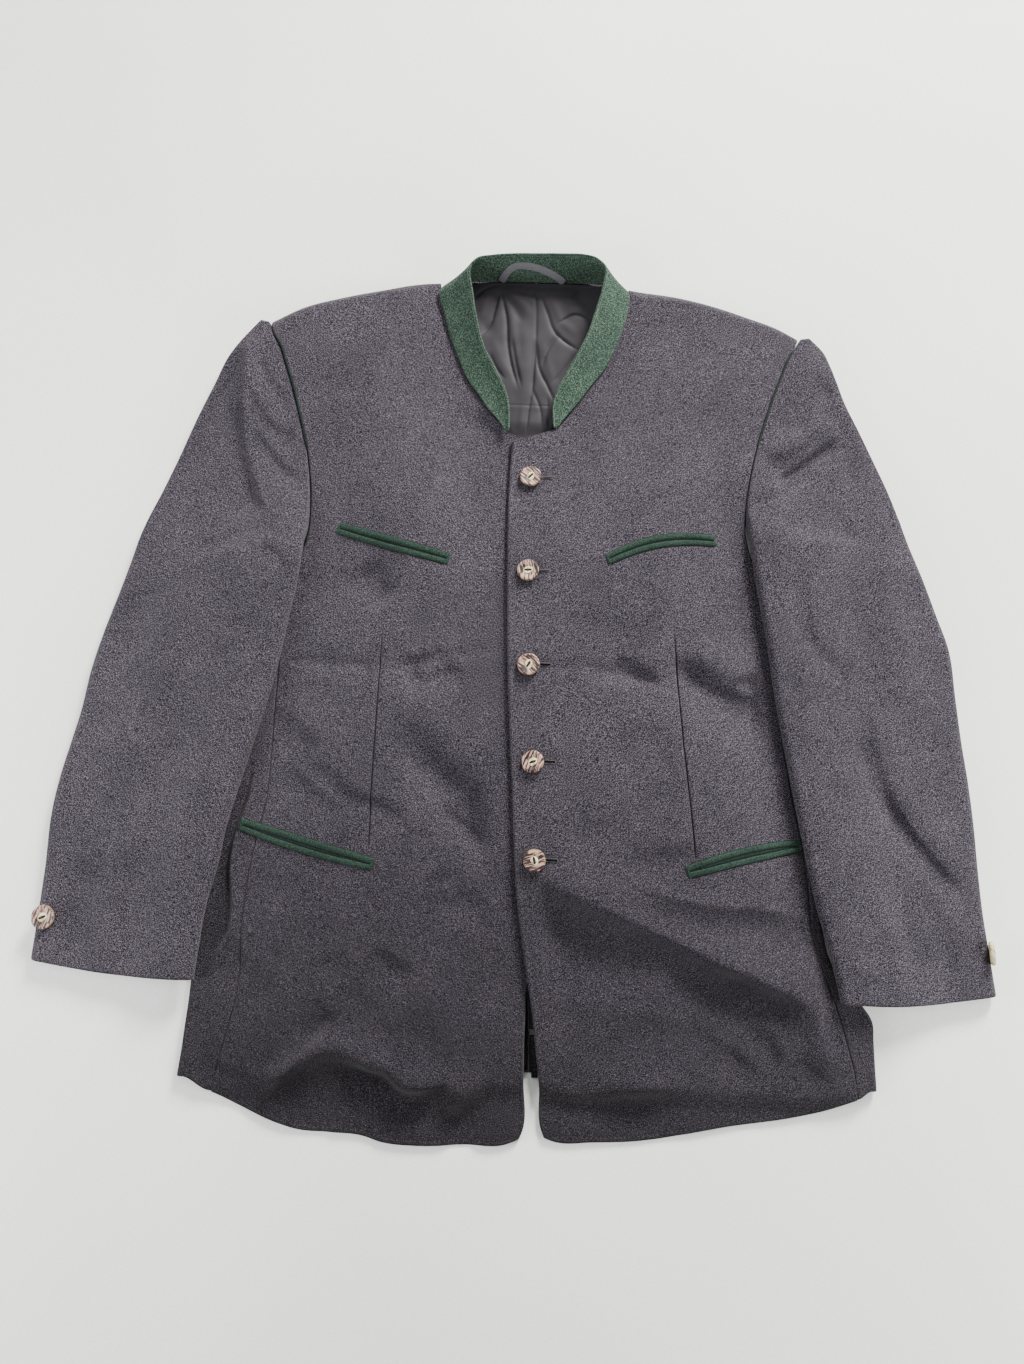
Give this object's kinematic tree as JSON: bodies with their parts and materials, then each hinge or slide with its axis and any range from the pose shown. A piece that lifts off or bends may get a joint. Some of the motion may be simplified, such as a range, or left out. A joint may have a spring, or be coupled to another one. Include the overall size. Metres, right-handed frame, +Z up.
{
  "type": "tyrolean loden jacket laid flat",
  "caption": "Stand-collar wool jacket, buttoned and laid flat on its back, with jetted chest and hip pockets, two-piece sleeves and horn buttons.",
  "frame": {"origin": "centre of the jacket's plan outline, on the surface that it lies on", "axes": "+Z up from the surface through the fronts, +Y towards the collar, +X towards the wearer's left sleeve"},
  "size_m": [0.874, 0.8301, 0.032],
  "materials": {
    "loden": "dark melange wool with fine light flecks",
    "green_wool": "fir-green felted wool",
    "dark_green_wool": "dark green wool",
    "satin": "grey-mauve satin lining",
    "dark_satin": "dark satin lining",
    "tape": "woven tape",
    "horn": "polished stag horn"
  },
  "bodies": {
    "root": {"back_left": "loden", "back_right": "loden", "side_panel_left": "loden", "side_panel_right": "loden", "front_left": "loden", "front_right": "loden", "top_sleeve_left": "loden", "top_sleeve_right": "loden", "under_sleeve_left": "loden", "under_sleeve_right": "loden", "collar": "green_wool", "hanger_loop": "tape", "lining_neck": "satin", "lining_skirt": "dark_satin", "chest_lips_left": "green_wool", "chest_lips_right": "green_wool", "hip_lips_left": "green_wool", "hip_lips_right": "green_wool", "hip_facing_left": "dark_green_wool", "piping_left": "dark_green_wool", "cuff_button_left": "horn", "hip_facing_right": "dark_green_wool", "piping_right": "dark_green_wool", "cuff_button_right": "horn", "button_1": "horn", "button_2": "horn", "button_3": "horn", "button_4": "horn", "button_5": "horn"}
  },
  "joints": []
}
